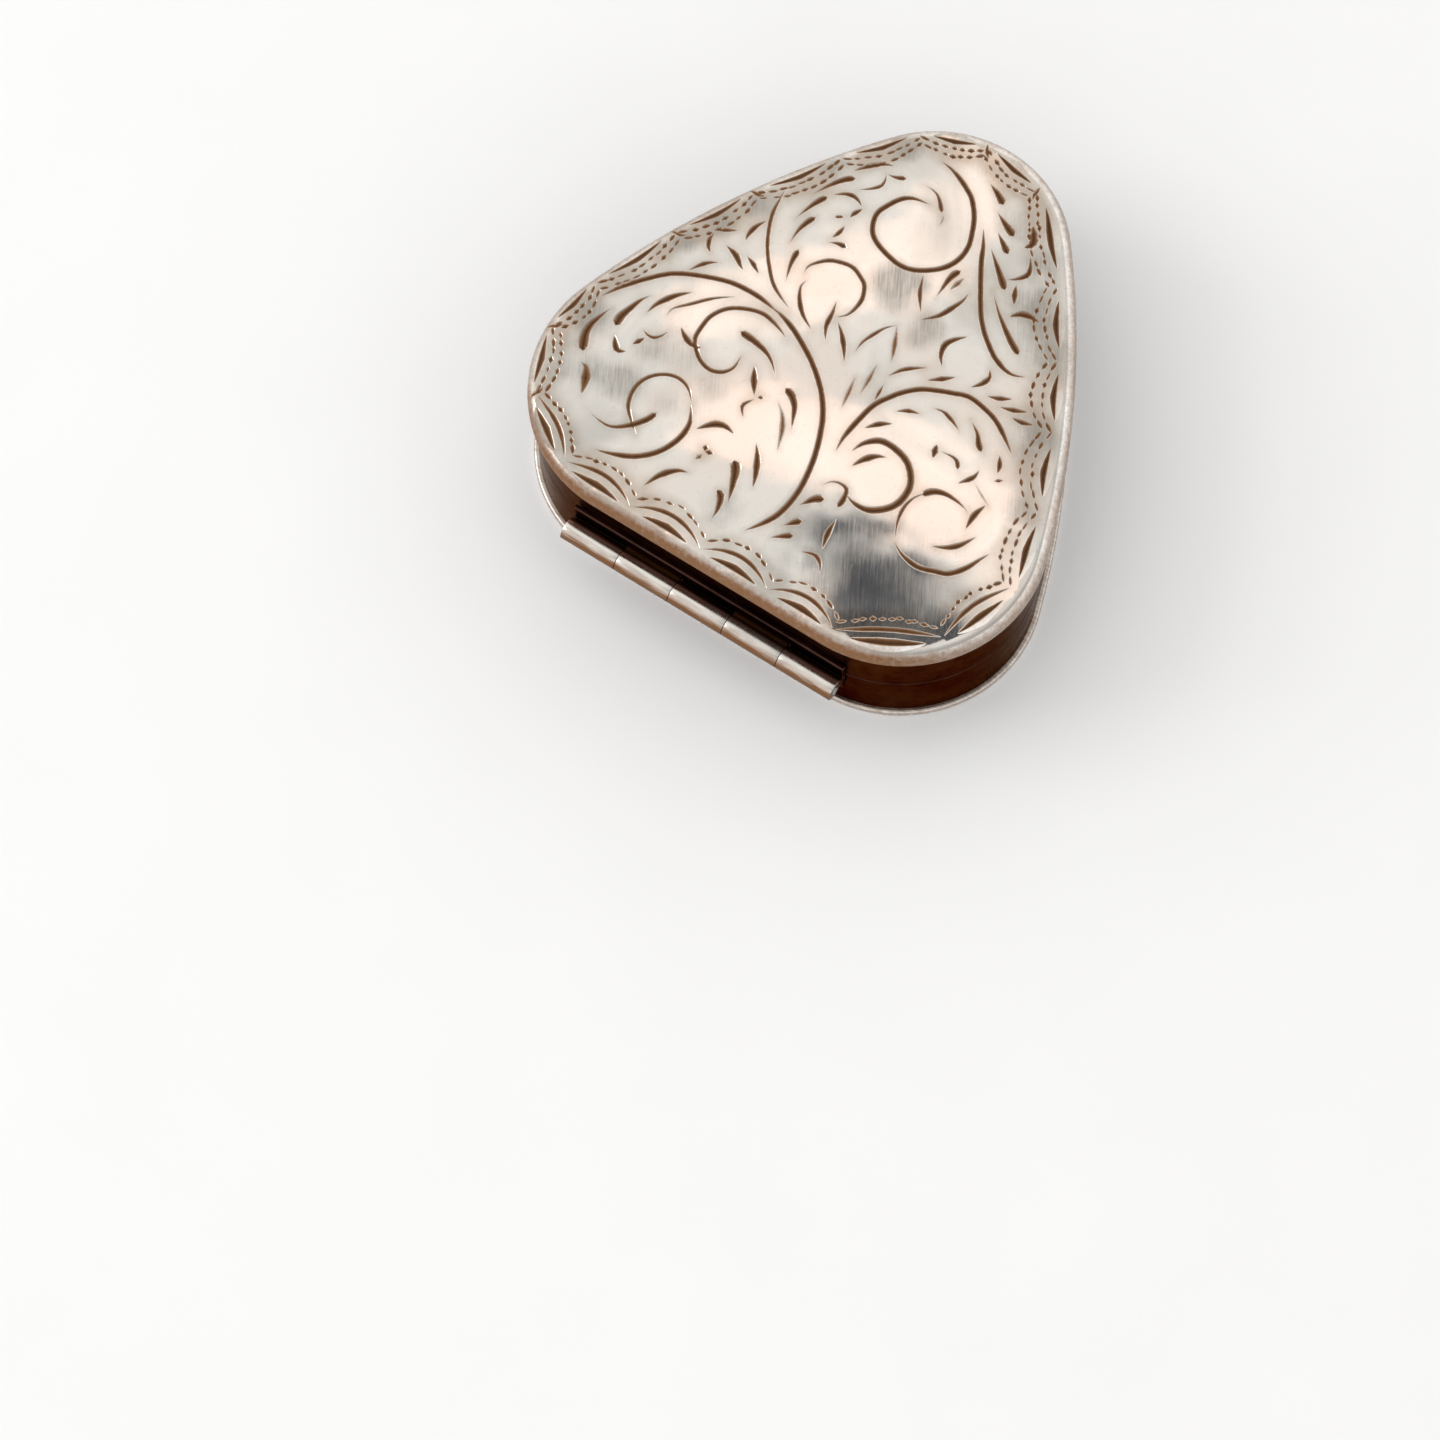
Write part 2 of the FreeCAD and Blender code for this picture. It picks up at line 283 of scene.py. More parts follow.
FOLIAGE = [
    # Stems
    (0.28, -17, -5, -16.2, -3.6, -15, -2.1, -13.8, -0.95, -12.2, -0.15, -10.8, 0.35, -9.7, 0.6, -8.2, 0.65,
     -7, 0.5, -5.9, 0.25),
    (0.3, -6.8, 0.5, -5.4, 0.15, -4.3, -0.3, -3.2, -0.9, -2.1, -1.6, -1.1, -2.4, -0.2, -3.3, 0.6, -4.4,
     1.2, -5.6, 1.8, -7.2, 2.2, -9, 2.3, -10.5, 2.1, -12, 1.6, -13.1, 0.8, -14.3),
    (0.22, -10.95, 8.6, -10.9, 8, -10.7, 6.7, -10.3, 5.6, -9.6, 4.3, -8.6, 3, -7.4, 1.85, -5.6, 0.95),
    (0.28, 2, 13.5, 2.7, 12.4, 3.3, 11.2, 4.2, 9.7, 5.3, 8, 6.2, 6.95, 7.1, 6.2, 8, 5.6, 9, 5.25, 9.7, 5.25,
     10.5, 5.6),
    (0.28, 2.8, -6.2, 2.7, -5, 2.85, -3.4, 3.1, -2, 3.6, -1, 4.2, -0.1, 5.1, 0.8, 6.2, 1.4, 7.1, 1.8,
     8, 2.15, 9, 2.1, 10.3, 1.8, 11.4, 1.2, 12.8, 0.2),
    # Volutes
    (0.24, -4.5, -1.1, -5, -0.8, -6, -0.45, -7, -0.3, -8.2, -0.65, -9.2, -1.3, -9.8, -2.3, -9.9, -3.3,
     -9.8, -4.3, -9.3, -4.95, -8.6, -5.5, -7.7, -5.75, -6.9, -5.5, -6.4, -4.9, -6.35, -4.2, -6.4, -3.7),
    (0.35, -11.1, -4.1, -10.4, -4.6, -9.6, -4.85, -9, -4.7),
    (0.38, HEAD, -7.5, -2.25, -6.3, -2.35, -5.2, -2.6, -4.4, -3.05, -3.5, -3.9),
    (0.3, -11, -14.8, -9.5, -14.3, -8.3, -13.7, -7.2, -12.6, -6.6, -11.2, -6.55, -10, -6.9, -9.2,
     -7.3, -8.6),
    (0.22, -7.2, -8.6, -8.1, -7.7, -9.1, -7.4, -10.1, -7.7, -10.9, -8.5, -11.2, -9.6, -10.9, -10.8,
     -10.2, -11.6, -9.2, -12.4),
    (0.32, TAIL, -13.2, -12.55, -12.2, -12.8, -11, -12.8, -10, -12.1, -9.2, -11.1, -8.9, -10.3),
    (0.28, -3.2, 16.3, -2.4, 16.2, -1.5, 15.9, -0.5, 15.4, 0.2, 14.9, 1, 13.9, 1.55, 12.8, 1.9, 11.8,
     1.97, 10.9, 1.75, 10, 1.25, 9.2, 0.45, 8.5, -0.25, 8.1, -1, 7.92, -1.9, 8, -3.2, 8.4, -4, 8.9,
     -4.5, 9.7, -4.65, 10.5, -4.45, 11.2, -3.95, 12.2, -3.4, 12.7, -2.8, 12.9, -2, 13),
    (0.25, TAIL, -3.2, 14.1, -2.3, 14.05, -1.7, 13.7, -1.2, 13.15, -0.95, 12.9),
    (0.12, SOFT, -0.8, 12.8, -0.6, 12.4, -0.6, 12),
    (0.24, -6.3, 3.8, -6.3, 4.5, -5.6, 5.4, -4.9, 5.8, -3.8, 6, -2.8, 5.6, -2.3, 5.2, -1.9, 4.3, -1.9, 3.4,
     -2.1, 2.7, -2.6, 2.2),
    (0.35, 3.7, -5.6, 4, -4.8, 4.5, -4.2, 5.1, -3.85, 6, -3.85, 7, -4.1, 7.75, -4.65, 8.3, -5.45,
     8.45, -6.3, 8.3, -7.2, 7.8, -7.95, 7, -8.55, 6.2, -8.7, 5.5, -8.6, 5.1, -8.4),
    (0.35, 4.3, -6.5, 4.7, -5.7, 5.3, -5, 5.9, -4.7),
    (0.3, TAIL, 3.4, -8.7, 3.8, -8.2, 4.3, -8, 4.9, -8.1, 5.15, -8.8, 5.1, -9.6),
    (0.35, HEAD, 9.3, -5.7, 9.9, -5, 10.8, -4.7, 12, -4.8, 12.7, -5.1),
    (0.33, 13.3, -3.9, 13.05, -4.9, 13.1, -6.1),
    (0.2, 9.5, -5.4, 9.05, -6.1, 8.85, -6.9, 8.95, -7.9, 9.35, -8.9, 9.7, -9.4),
    (0.28, 9.6, -9.5, 10.6, -10, 11.9, -10.15, 13.1, -9.75, 13.9, -9.4, 14.6, -8.5, 15.1, -7.35,
     15.4, -6.7),
    (0.3, 11.9, -8.4, 12.8, -7.9, 13.4, -7.3, 14, -6.2),
    # Leaves on the left
    (0.33, -11.85, -1.45, -12.55, -2.1, -13.1, -2.85, -13.5, -3.65, -13.65, -4.45),
    (0.2, -9.2, -0.2, -10.4, -1.1, -11.5, -2.3, -12.3, -3.2, -12.4, -3.9),
    (0.46, TAIL, -14.1, -3.1, -14.55, -3.85, -14.8, -4.7, -15, -5.55, -14.95, -6.4),
    (0.26, -13.05, -0.2, -12.65, 0.5, -12.2, 1.05, -11.6, 1.4),
    (0.28, -13.2, 3.2, -13.2, 2.6, -12.9, 2, -12.5, 1.75),
    (0.25, -13.4, 3.35, -12.6, 3.8, -11.9, 4.2),
    (0.35, -12, 2.8, -11, 2.5, -10.3, 2, -9.9, 1.8),
    (0.27, -10.35, 2.85, -9.6, 2.55, -8.85, 2.1),
    (0.3, -10.7, 5.85, -11.05, 5.1, -11.15, 4.3, -11.05, 3.7),
    (0.3, HEAD, -7.6, 5.2, -7.5, 4.2, -7.25, 3.3, -6.95, 2.5),
    (0.32, HEAD, -8, 7.95, -8.3, 7.2, -8.45, 6.3, -8.4, 5.2),
    (0.33, HEAD, -8.2, 9.75, -8.6, 8.95, -8.9, 8, -9.1, 7.1),
    (0.36, -14.55, -7, -14.2, -7.5, -13.75, -7.85, -13.2, -7.6),
    (0.21, -13.25, -5.6, -12.7, -5.8, -12.2, -5.75, -11.85, -5.4, -11.6, -4.85),
    (0.28, -12.7, -6.1, -13.15, -6.95),
    (0.5, TAIL, -15.9, -5.4, -16.2, -6.3, -16.4, -7.15, -16.35, -7.85, -16.1, -8.5, -15.75, -9.15),
    (0.5, SOFT, -15.4, -9.9, -14.9, -10, -14.4, -10.8, -14, -11.9),
    # Leaves towards the tip
    (0.32, -7.8, 12.4, -7.25, 13.15, -6.7, 13.7, -6.2, 14.05, -5.65, 14.2),
    (0.3, TAIL, -5.9, 13.4, -5.2, 13.5, -4.4, 13.85),
    (0.22, -5.85, 13.5, -5.6, 12.9, -5.6, 12.4, -6, 11.9, -6.7, 11.3),
    (0.35, HEAD, -7.35, 12, -7.95, 11.5, -8.5, 10.7, -8.9, 9.9, -9.15, 9.3),
    (0.28, -7.95, 10.05, -7.3, 10.55, -6.75, 10.7, -6.2, 10.55, -5.75, 10.25),
    (0.28, -5.65, 10.2, -5.95, 9.6, -6.05, 9.1),
    (0.25, -6.95, 8.6, -6.4, 9),
    (0.26, -5.95, 8.4, -6, 7.75, -6.2, 7.15),
    (0.32, TAIL, -6.2, 6.7, -5.6, 7, -4.9, 7.05),
    (0.45, TAIL, 0.5, 16.7, 1.4, 16.3, 2.2, 15.8),
    (0.45, TAIL, 2.1, 15.1, 3.1, 14.6, 4.1, 14.15),
    (0.4, TAIL, 2.9, 13.85, 3.7, 13.3, 4.5, 12.75),
    (0.4, TAIL, 3.1, 12.6, 4.3, 11.6, 5.8, 10.3),
    (0.35, TAIL, 5.1, 9.8, 6.5, 8.5, 8, 7.4, 9.2, 6.7),
    (0.5, 4.7, 15.6, 5.2, 14.9, 5.45, 14.3, 5.1, 13.8),
    (0.3, 5.8, 13.5, 6.3, 12.7, 6.4, 12.1, 5.9, 11.4, 5.5, 11.1),
    (0.32, 6.2, 11.1, 6.5, 10.4, 6.9, 9.7),
    (0.38, 7.1, 8.8, 7.6, 9.35, 8.2, 9.6, 9.05, 9.6),
    # Leaves in the middle
    (0.28, -5.85, 3.4, -5.9, 2.8, -5.4, 1.9, -4.6, 1.1, -3.4, 0.4),
    (0.28, -3.25, 3.2, -3, 2.3, -2.8, 1.2, -2.2, 0.2),
    (0.3, -2.4, 2, -1.6, 1.3, -0.9, 0.5, -0.3, -0.4),
    (0.22, 1.2, 3.95, 0.6, 3.3, 0.15, 2.3, -0.1, 1.5, -0.1, 0.6),
    (0.3, SOFT, 1.2, 3.9, 1.7, 2.9, 2.4, 1.3),
    (0.25, 2.75, 0.4, 3.2, 1.2, 3.8, 1.8, 4.6, 2.4),
    (0.28, 5.1, 1.6, 5.7, 2.1, 6.6, 2.9),
    (0.35, 5.6, 5.9, 4.9, 5.1, 4.65, 4.4, 4.9, 3.6, 5.4, 3),
    (0.25, 0.55, 8.2, 1.1, 6.9, 2, 5.6),
    (0.3, 3.9, 8.7, 3.85, 8, 3.5, 7, 3.1, 6.1, 2.3, 5.2),
    (0.35, HEAD, 2.5, 9.9, 2.2, 9, 2.2, 7.1),
    (0.28, SOFT, 3, 9.5, 2.7, 8.2),
    (0.25, SOFT, 1.65, 0.7, 1.8, -0.5, 1.9, -1.8),
    (0.25, SOFT, 0.95, -0.9, 1.2, -2.2, 1.4, -3.3),
    (0.2, 2.85, -0.3, 2.95, -1.7),
    # Leaves on the right
    (0.25, 4.6, -1.5, 5.3, -1, 6.1, -0.75),
    (0.3, 3.5, -3.7, 4.2, -2.9, 4.9, -2.4),
    (0.25, 6.6, 0.1, 7.3, 0.25, 8.2, 0, 8.9, -0.35),
    (0.33, TAIL, 9.1, 0.8, 10, 0.2, 10.5, -0.4, 11, -0.8),
    (0.3, 12.1, -0.3, 12.5, -0.9, 12.7, -1.5),
    (0.2, 12.8, -2.1, 13.3, -1.7),
    (0.3, 8.1, 4.7, 8.45, 4.2, 8.3, 3.5, 7.8, 2.8),
    (0.28, 9.1, 2.9, 9.8, 3.2, 10.6, 3.7),
    (0.28, 10.2, 2.7, 11, 3, 12, 3.5),
    (0.28, 11.3, 2.5, 12, 2.6, 12.8, 2.9),
    (0.35, 8.2, -2, 8.5, -3),
    (0.25, TAIL, 8.6, -2.3, 9.8, -2.2, 10.4, -2.8),
    (0.28, 11.6, -2, 11.5, -2.7, 10.9, -3.6),
    (0.14, SOFT, 11.9, -3, 12.8, -3.5, 13.5, -3.85),
    # Leaves on the hinge side
    (0.45, TAIL, 2.9, -10.8, 3.5, -9.9, 4.1, -9.5),
    (0.4, TAIL, 2.8, -12.6, 3.3, -12, 3.7, -11.6),
    (0.35, TAIL, 2.5, -13.8, 3.1, -13.3, 3.8, -12.8),
    (0.32, 5.5, -10.3, 5.6, -11.5, 5.9, -12.6),
    (0.25, 4.8, -13.5, 5.7, -13.2, 6.3, -13.5, 6.7, -14.1),
    (0.38, -6, -9.9, -5.2, -9, -4.5, -8.7, -3.6, -8.85),
    (0.28, -4.8, -10.5, -4.6, -10.95),
    (0.28, -4.6, -10.95, -4, -10.8),
    (0.28, SOFT, -4.6, -11.2, -4.8, -11.8),
    (0.35, -2, -8.6, -1.4, -9.4, -0.8, -10.5, -0.4, -11.5),
    (0.5, HEAD, -2.6, -10.4, -2.1, -11, -1.6, -12.2, -1.2, -13.3),
    (0.42, HEAD, -2.4, -12.8, -1.9, -13.1, -1.6, -13.9, -1.5, -14.8),
    (0.35, -4.6, -12.8, -5.4, -13.1, -6.2, -14, -6.7, -15.2),
    (0.42, HEAD, -2.6, -4.15, -1.9, -4.4, -1.3, -5, -0.8, -6, -0.5, -6.6),
    (0.28, SOFT, -2.4, -5.3, -1.7, -5.9, -1.1, -6.8, -0.5, -8.3),
    (0.36, -5.25, -3.9, -4.7, -4.8, -4.05, -5.75),
    (0.2, -3.8, -5.75, -3.4, -5.55),
    (0.22, -3.9, -6, -4.3, -6.8, -3.8, -7.5),
]

# The drawing is brought in a touch, about a point behind the hinge
DRAWING_SCALE = 0.992
DRAWING_CENTRE = np.array([-4.0, -25.0])


def fitted(stroke):
    """Width, kind and points of a stroke, brought to the lid's size."""
    width, *rest = stroke
    kind = rest.pop(0) if rest[0] in (HEAD, TAIL, SOFT) else EVEN
    points = np.reshape(rest, (-1, 2))
    return width, kind, DRAWING_CENTRE + DRAWING_SCALE * (points - DRAWING_CENTRE)


# Smudges of tarnish: place, reach and strength
SMUDGES = (
    (-0.9, 6.3, 1.5, 0.95), (0.1, 4.9, 1, 0.6), (3.1, 4.9, 1.3, 1), (2.6, 3.6, 0.9, 0.7),
    (0.7, 7.2, 1, 0.5), (-12, -6.5, 1.4, 0.9), (-12.2, -9.8, 1.6, 0.95), (-9.4, -5.9, 1.8, 0.6),
    (-7, -6.6, 1.5, 0.5), (-14.4, -10.3, 1.1, 0.95), (-14.6, 1.3, 1.1, 0.7), (-16.4, -6.6, 1.5, 0.9),
    (8, 10.2, 2, 0.8), (-5.3, 15.4, 1.2, 0.8), (-11.7, 6.6, 1.2, 0.8), (10.5, 7.5, 2.2, 0.8),
    (13, 2, 2, 0.7), (-9.2, 11.8, 1.4, 0.6), (6.8, 13.2, 1.6, 0.8), (-16.2, -11, 1.8, 0.6),
    (6.5, -13.8, 1.8, 0.6), (-1.5, -14, 1.6, 0.5), (-13.2, 3.9, 1.3, 0.6), (15.5, -3, 1.6, 0.5),
    (-8.5, -9.5, 1.2, 0.5), (3.6, 14.5, 1.4, 0.6),
)

# Scalloped border. A scallop lies between each two cusps, which are measured along the outline
# from the left end of the hinge side. Everything in it is hand-cut, so nothing is quite even.
CUSPS = (2.5, 8.1, 13.4, 18.6, 27, 33.7, 40, 46, 51.3, 57, 65, 70.3, 75.4, 81.3, 87.8, 94, 100.7,
         105.2, 110.7, 116.6)
ARCHED = (110.7, 116.6, 2.5, 8.1, 13.4, 18.6, 27)  # these begin with a plain arch, not dashes
HOOKED = (65, 70.3, 87.8, 94, 105.2, 110.7)  # at these the rows end in a hook
BORDER_SEED = 11
BORDER_POINTS = 7
BORDER_INSET = 0.72
BORDER_LEAN = (0.36, 0.08)  # the border sits off centre by this much
ROW_SPREAD = 1.05
ROW_LEAN = (0.1, -0.12)  # and its rows are wider apart on the hinge side
WEDGE_SHARE = 0.66  # length of a wedge within its scallop
WEDGE_W = 0.58
WEDGE_RISE = 0.16
INNER_ROW = (0.2, 0.85)  # inset at the cusps, and rise at the middle of a scallop
OUTER_ROW = (0.75, 0.95)
ARCH_W = 0.25
ARCH_SHARE = 0.97
DASH_W = 0.22
DASH_L = 0.7
DASH_PITCH = 0.76
DASH_SHIFT = 0.04  # how far a dash strays along its row, and across it
DASH_WANDER = 0.06
DASH_L_RANGE = (0.8, 1.15)  # uneven sizes, as shares of the ones above
DASH_W_RANGE = (0.8, 1.25)
WEDGE_RANGE = (0.9, 1.1)


def border_inset(along):
    """Inset of the wedges from the outline, and the spread of the rows above them."""
    outward = border_point(along, 0) - border_point(along, 1)
    return BORDER_INSET + outward @ BORDER_LEAN, ROW_SPREAD + outward @ ROW_LEAN


def border_stroke(scallop, part, inset, rise, width):
    """A cut along part of one scallop, from -1 to 1, that is further in at the middle."""
    middle, half = scallop
    points = []
    for place in np.linspace(*part, BORDER_POINTS):
        along = middle + half * place
        wedge, spread = border_inset(along)
        lift = spread * (inset + rise * (1 - place ** 2))
        points.append(border_point(along, wedge + lift))
    return width, EVEN, points


def dash_row(rng, scallop, inset, rise):
    """Short dashes along one scallop."""
    half = scallop[1]
    count = round(2 * half / DASH_PITCH)
    row = []
    for i in range(count):
        place = (i + 0.5) / count * 2 - 1 + rng.uniform(-DASH_SHIFT, DASH_SHIFT)
        reach = DASH_L / 2 / half * rng.uniform(*DASH_L_RANGE)
        width = DASH_W * rng.uniform(*DASH_W_RANGE)
        wander = rng.uniform(-DASH_WANDER, DASH_WANDER)
        part = (place - reach, place + reach)
        row.append(border_stroke(scallop, part, inset + wander, rise, width))
    return row


def hook(along):
    """A short curl that ends the rows at a cusp."""
    wedge = border_inset(along)[0]
    bends = ((-0.5, 0.75), (-0.15, 0.5), (0.05, 0.1), (0.2, -0.25))
    return ARCH_W, EVEN, [border_point(along + a, wedge + b) for a, b in bends]


def border():
    """Bright-cut wedges, with arches and rows of dashes inside them."""
    rng = random.Random(BORDER_SEED)
    wedges = []
    plain = [hook(along) for along in HOOKED]
    for start, end in zip(CUSPS, CUSPS[1:] + (CUSPS[0] + PERIMETER,)):
        scallop = ((start + end) / 2, (end - start) / 2)
        reach = WEDGE_SHARE * rng.uniform(*WEDGE_RANGE)
        wedges.append(border_stroke(scallop, (-reach, reach), 0, WEDGE_RISE, WEDGE_W))
        if start in ARCHED:
            plain.append(border_stroke(scallop, (-ARCH_SHARE, ARCH_SHARE), *INNER_ROW, ARCH_W))
        else:
            plain += dash_row(rng, scallop, *INNER_ROW)
        plain += dash_row(rng, scallop, *OUTER_ROW)
    return wedges, plain


# --- Cuts in the sheet ---

def smooth_path(points):
    """Catmull-Rom curve through the points, as a fine polyline."""
    p = np.array(points, float)
    if len(p) == 2:
        return np.linspace(p[0], p[1], CURVE_STEPS - 1)
    p = np.concatenate([[2 * p[0] - p[1]], p, [2 * p[-1] - p[-2]]])
    t = np.linspace(0, 1, CURVE_STEPS, endpoint=False)[:, None]
    spans = []
    for a, b, c, d in zip(p, p[1:], p[2:], p[3:]):
        spans.append(0.5 * (2 * b + (c - a) * t + (2 * a - 5 * b + 4 * c - d) * t ** 2
                            + (3 * b - a - 3 * c + d) * t ** 3))
    return np.concatenate(spans + [p[-2:-1]])


def envelope(kind, reached, length):
    """Share of the full width at each distance along a cut."""
    left = length - reached
    fade = min(FADE_MM, length / 2)
    long_fade = LONG_FADE * length
    if kind is HEAD:
        start, end = reached / BLUNT_MM, (left / long_fade) ** LONG_FADE_POWER
    elif kind is TAIL:
        start, end = (reached / long_fade) ** LONG_FADE_POWER, left / BLUNT_MM
    else:
        start, end = (reached / fade) ** FADE_POWER, (left / fade) ** FADE_POWER
    return np.minimum(1, start) * np.minimum(1, end)


class Cut:
    """One graver cut: its centre line, half widths and section."""

    def __init__(self, stroke, section):
        width, kind, points = stroke
        path = smooth_path(points)
        steps = np.hypot(*np.diff(path, axis=0).T)
        reached = np.concatenate([[0], np.cumsum(steps)])
        length = reached[-1]
        inner = np.linspace(0, length, max(2, round(length / CUT_STEP)) + 1)
        near = [e for e in CUT_ENDS if e < length / 4]
        stations = np.unique(np.concatenate([inner, near, length - np.array(near)]))
        self.line = np.stack([np.interp(stations, reached, path[:, k]) for k in (0, 1)], 1)
        heading = np.gradient(self.line, axis=0)
        heading /= np.hypot(*heading.T)[:, None]
        self.left = np.stack([-heading[:, 1], heading[:, 0]], 1)
        self.half = CUT_SPREAD * width / 2 * envelope(kind, stations, length)
        self.section = np.array(section, float)
        self.deep = DEPTH_PER_WIDTH * (SOFT_SHARE if kind is SOFT else 1)

    def tracks(self):
        """The cut's lengthwise lines, each running from its first point to its last."""
        for place in self.section[:, 0]:
            yield self.line + self.left * (place * self.half)[:, None]

    def field(self, points):
        """Depth, oxide with any painted facet shade, and distance outside the lips, at each point."""
        start, end = self.line[:-1], self.line[1:]
        span = end - start
        size = (span ** 2).sum(1)
        gap = points[:, None] - start[None]
        share = np.clip((gap * span).sum(2) / size, 0, 1)
        foot = gap - share[..., None] * span
        far = np.hypot(foot[..., 0], foot[..., 1])
        rows = np.arange(len(points))
        best = np.argmin(far, 1)
        share = share[rows, best]
        distance = far[rows, best]
        half = self.half[best] * (1 - share) + self.half[best + 1] * share
        side = np.sign(span[best, 0] * gap[rows, best, 1] - span[best, 1] * gap[rows, best, 0])
        place = side * distance / np.maximum(half, 1e-6)
        depth = np.interp(place, self.section[:, 0], self.section[:, 1], 0, 0)
        oxide = np.interp(place, self.section[:, 0], self.section[:, 2], 0, 0)
        depth = depth * 2 * half * self.deep
        return depth, oxide * np.minimum(1, depth / FULL_OXIDE_DEPTH), distance - half


def cut_field(cuts, points, reach):
    """Deepest cut, its oxide with any painted facet shade, crowding of cuts, and distance to the nearest
    lip at each point.
    """
    depth = np.zeros(len(points))
    oxide = np.zeros(len(points))
    lip = np.full(len(points), reach)
    open_share = np.ones(len(points))
    for cut in cuts:
        low = cut.line.min(0) - reach
        high = cut.line.max(0) + reach
        near = np.flatnonzero(((points > low) & (points < high)).all(1))
        if not len(near):
            continue
        d, o, gap = cut.field(points[near])
        depth[near] = np.maximum(depth[near], d)
        oxide[near] = np.maximum(oxide[near], o)
        lip[near] = np.where(np.abs(gap) < np.abs(lip[near]), gap, lip[near])
        open_share[near] *= 1 - CROWD_SHARE * np.exp(-np.maximum(gap, 0) / CROWD_REACH)
    return depth, oxide, 1 - open_share, lip


def smudge_field(points):
    """Strength of the smudges at each point."""
    clear = np.ones(len(points))
    for x, y, reach, strength in SMUDGES:
        away = np.hypot(points[:, 0] - x, points[:, 1] - y) / reach
        clear *= 1 - strength * np.exp(-away ** 2)
    return 1 - clear


# --- Sheets drawn in plan ---

def hex_fill(pitch, inset):
    """Evenly staggered points inside the outline."""
    rows = []
    row_gap = pitch * math.sqrt(3) / 2
    for j, y in enumerate(np.arange(BACK_Y, BACK_Y + DEPTH, row_gap)):
        x = np.arange(-WIDTH / 2, WIDTH / 2, pitch) + (j % 2) * pitch / 2
        rows.append(np.stack([x, np.full(len(x), y)], 1))
    points = np.concatenate(rows)
    return points[inset_of(points) > inset]


def triangulate(edge, tracks, loose):
    """Triangles inside a closed edge, with the tracks kept as edges. The edge's points lead."""
    count = len(edge)
    points = [edge]
    links = [(i, (i + 1) % count) for i in range(count)]
    for track in tracks:
        links += [(count + i, count + i + 1) for i in range(len(track) - 1)]
        points.append(track)
        count += len(track)
    points = np.concatenate(points + [loose])
    made = delaunay_2d_cdt([Vector(p) for p in points], links, [], 0, SAME_POINT, True)
    places, _, faces, sources = made[:4]
    places = np.array([(p.x, p.y) for p in places])
    order = {}
    for i, origin in enumerate(sources):
        for source in origin:
            if source < len(edge):
                order[source] = i
    first = [order[i] for i in range(len(edge))]
    taken = set(first)
    sequence = first + [i for i in range(len(places)) if i not in taken]
    renumber = {old: new for new, old in enumerate(sequence)}
    return places[sequence], [tuple(renumber[i] for i in f) for f in faces]


def plain_sheet(inset):
    """Points and triangles of an even sheet inside the set-in outline."""
    return triangulate(ring(inset), [], hex_fill(UNDERSIDE_PITCH, inset + UNDERSIDE_PITCH / 2))


def shoulder_rings(start, end):
    """Insets and drops of points on the rounded shoulder, between two turns from its top."""
    count = max(1, round((end - start) / SHOULDER_STEP))
    turns = np.linspace(start, end, count + 1)
    return [(SHOULDER_R * (1 - math.sin(t)), SHOULDER_R * (1 - math.cos(t))) for t in turns]


def placed(name, data):
    """A new object in the scene."""
    obj = bpy.data.objects.new(name, data)
    bpy.context.scene.collection.objects.link(obj)
    return obj


class Shell:
    """Vertices and faces that are added ring by ring, in millimetres."""

    def __init__(self):
        self.points = []
        self.faces = []
        self.values = {"oxide": [], "tarnish": [], "smudge": []}

    def add(self, points, **values):
        """Adds points and returns the number of the first one."""
        start = len(self.points)
        self.points.extend(map(tuple, points))
        for key, column in self.values.items():
            column.extend(np.broadcast_to(values.get(key, 0.0), len(points)))
        return start

    def bridge(self, rings, count=OUTLINE_STEPS):
        """Quads along a run of closed rings of the same count."""
        for first, second in zip(rings, rings[1:]):
            for i in range(count):
                j = (i + 1) % count
                self.faces.append((first + i, first + j, second + j, second + i))

    def build(self, name, crisp=30):
        """Makes the object, smooth but for edges sharper than an angle in degrees."""
        mesh = bpy.data.meshes.new(name)
        mesh.from_pydata([(x * MM, y * MM, z * MM) for x, y, z in self.points], [], self.faces)
        for key, values in self.values.items():
            if any(values):
                mesh.attributes.new(key, "FLOAT", "POINT").data.foreach_set("value", values)
        mesh.validate()
        mesh.shade_smooth()
        mesh.set_sharp_from_angle(angle=math.radians(crisp))
        return placed(name, mesh)


def with_height(points, height):
    """Plan points with their heights, which may be one number."""
    return np.column_stack([points, np.broadcast_to(height, len(points))])


def finish_piece(obj, body, slot, material, *nodes):
    """Gives a piece its material, its body and the CAD nodes that it stands for."""
    obj.data.materials.append(material)
    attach(obj, body)
    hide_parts(*nodes)


